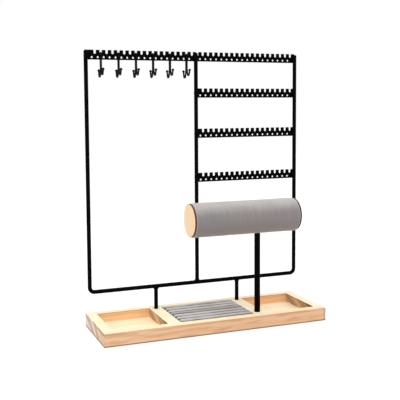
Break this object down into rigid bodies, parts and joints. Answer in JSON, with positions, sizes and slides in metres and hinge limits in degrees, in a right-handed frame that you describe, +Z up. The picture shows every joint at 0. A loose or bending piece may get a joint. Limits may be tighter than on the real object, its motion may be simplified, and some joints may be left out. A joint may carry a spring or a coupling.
{
  "type": "jewelry stand",
  "caption": "Jewelry stand: a wooden tray with a ring cushion carries a black wire frame with notched, pierced bars, loose double hooks and a padded bracelet roll.",
  "frame": {"origin": "centre of the tray's underside, on the surface that the stand rests on", "axes": "+X along the tray to the viewer's right, +Y from front to back, +Z up"},
  "size_m": [0.3, 0.1021, 0.3546],
  "materials": {
    "pine": "bare sanded pine",
    "plywood": "thin board, dark cut edge",
    "black_coat": "satin black coating on steel",
    "hook_coat": "satin black coating on thin wire",
    "grey_velvet": "short pile velvet",
    "cardboard": "grey board",
    "brass": "plain",
    "zinc": "zinc plated"
  },
  "bodies": {
    "stand": {"tray_base": "pine", "roll_end_left": "plywood", "roll_end_right": "plywood", "roll_anchor": "plywood", "frame_rod": "black_coat", "centre_post": "black_coat", "frame_leg_left": "black_coat", "frame_leg_right": "black_coat", "top_bar": "black_coat", "upper_bar": "black_coat", "middle_bar": "black_coat", "lower_bar": "black_coat", "bracelet_post": "black_coat", "roll_cover": "grey_velvet", "roll_tube": "cardboard", "ring_board": "cardboard", "roll_insert": "brass", "frame_nuts": "zinc", "frame_washers": "zinc", "post_nut": "zinc", "post_washer": "zinc", "ring_roll_1": "grey_velvet", "ring_roll_2": "grey_velvet", "ring_roll_3": "grey_velvet", "ring_roll_4": "grey_velvet", "ring_roll_5": "grey_velvet", "ring_roll_6": "grey_velvet", "ring_roll_7": "grey_velvet"},
    "hook_1": {"hook_1": "hook_coat"},
    "hook_2": {"hook_2": "hook_coat"},
    "hook_3": {"hook_3": "hook_coat"},
    "hook_4": {"hook_4": "hook_coat"},
    "hook_5": {"hook_5": "hook_coat"},
    "hook_6": {"hook_6": "hook_coat"}
  },
  "joints": [
    {"name": "hook_1_lift", "type": "slide", "parent": "stand", "child": "hook_1", "axis": [0, 0, 1], "range_m": [0, 0.042]},
    {"name": "hook_2_lift", "type": "slide", "parent": "stand", "child": "hook_2", "axis": [0, 0, 1], "range_m": [0, 0.042]},
    {"name": "hook_3_lift", "type": "slide", "parent": "stand", "child": "hook_3", "axis": [0, 0, 1], "range_m": [0, 0.042]},
    {"name": "hook_4_lift", "type": "slide", "parent": "stand", "child": "hook_4", "axis": [0, 0, 1], "range_m": [0, 0.042]},
    {"name": "hook_5_lift", "type": "slide", "parent": "stand", "child": "hook_5", "axis": [0, 0, 1], "range_m": [0, 0.042]},
    {"name": "hook_6_lift", "type": "slide", "parent": "stand", "child": "hook_6", "axis": [0, 0, 1], "range_m": [0, 0.042]}
  ]
}
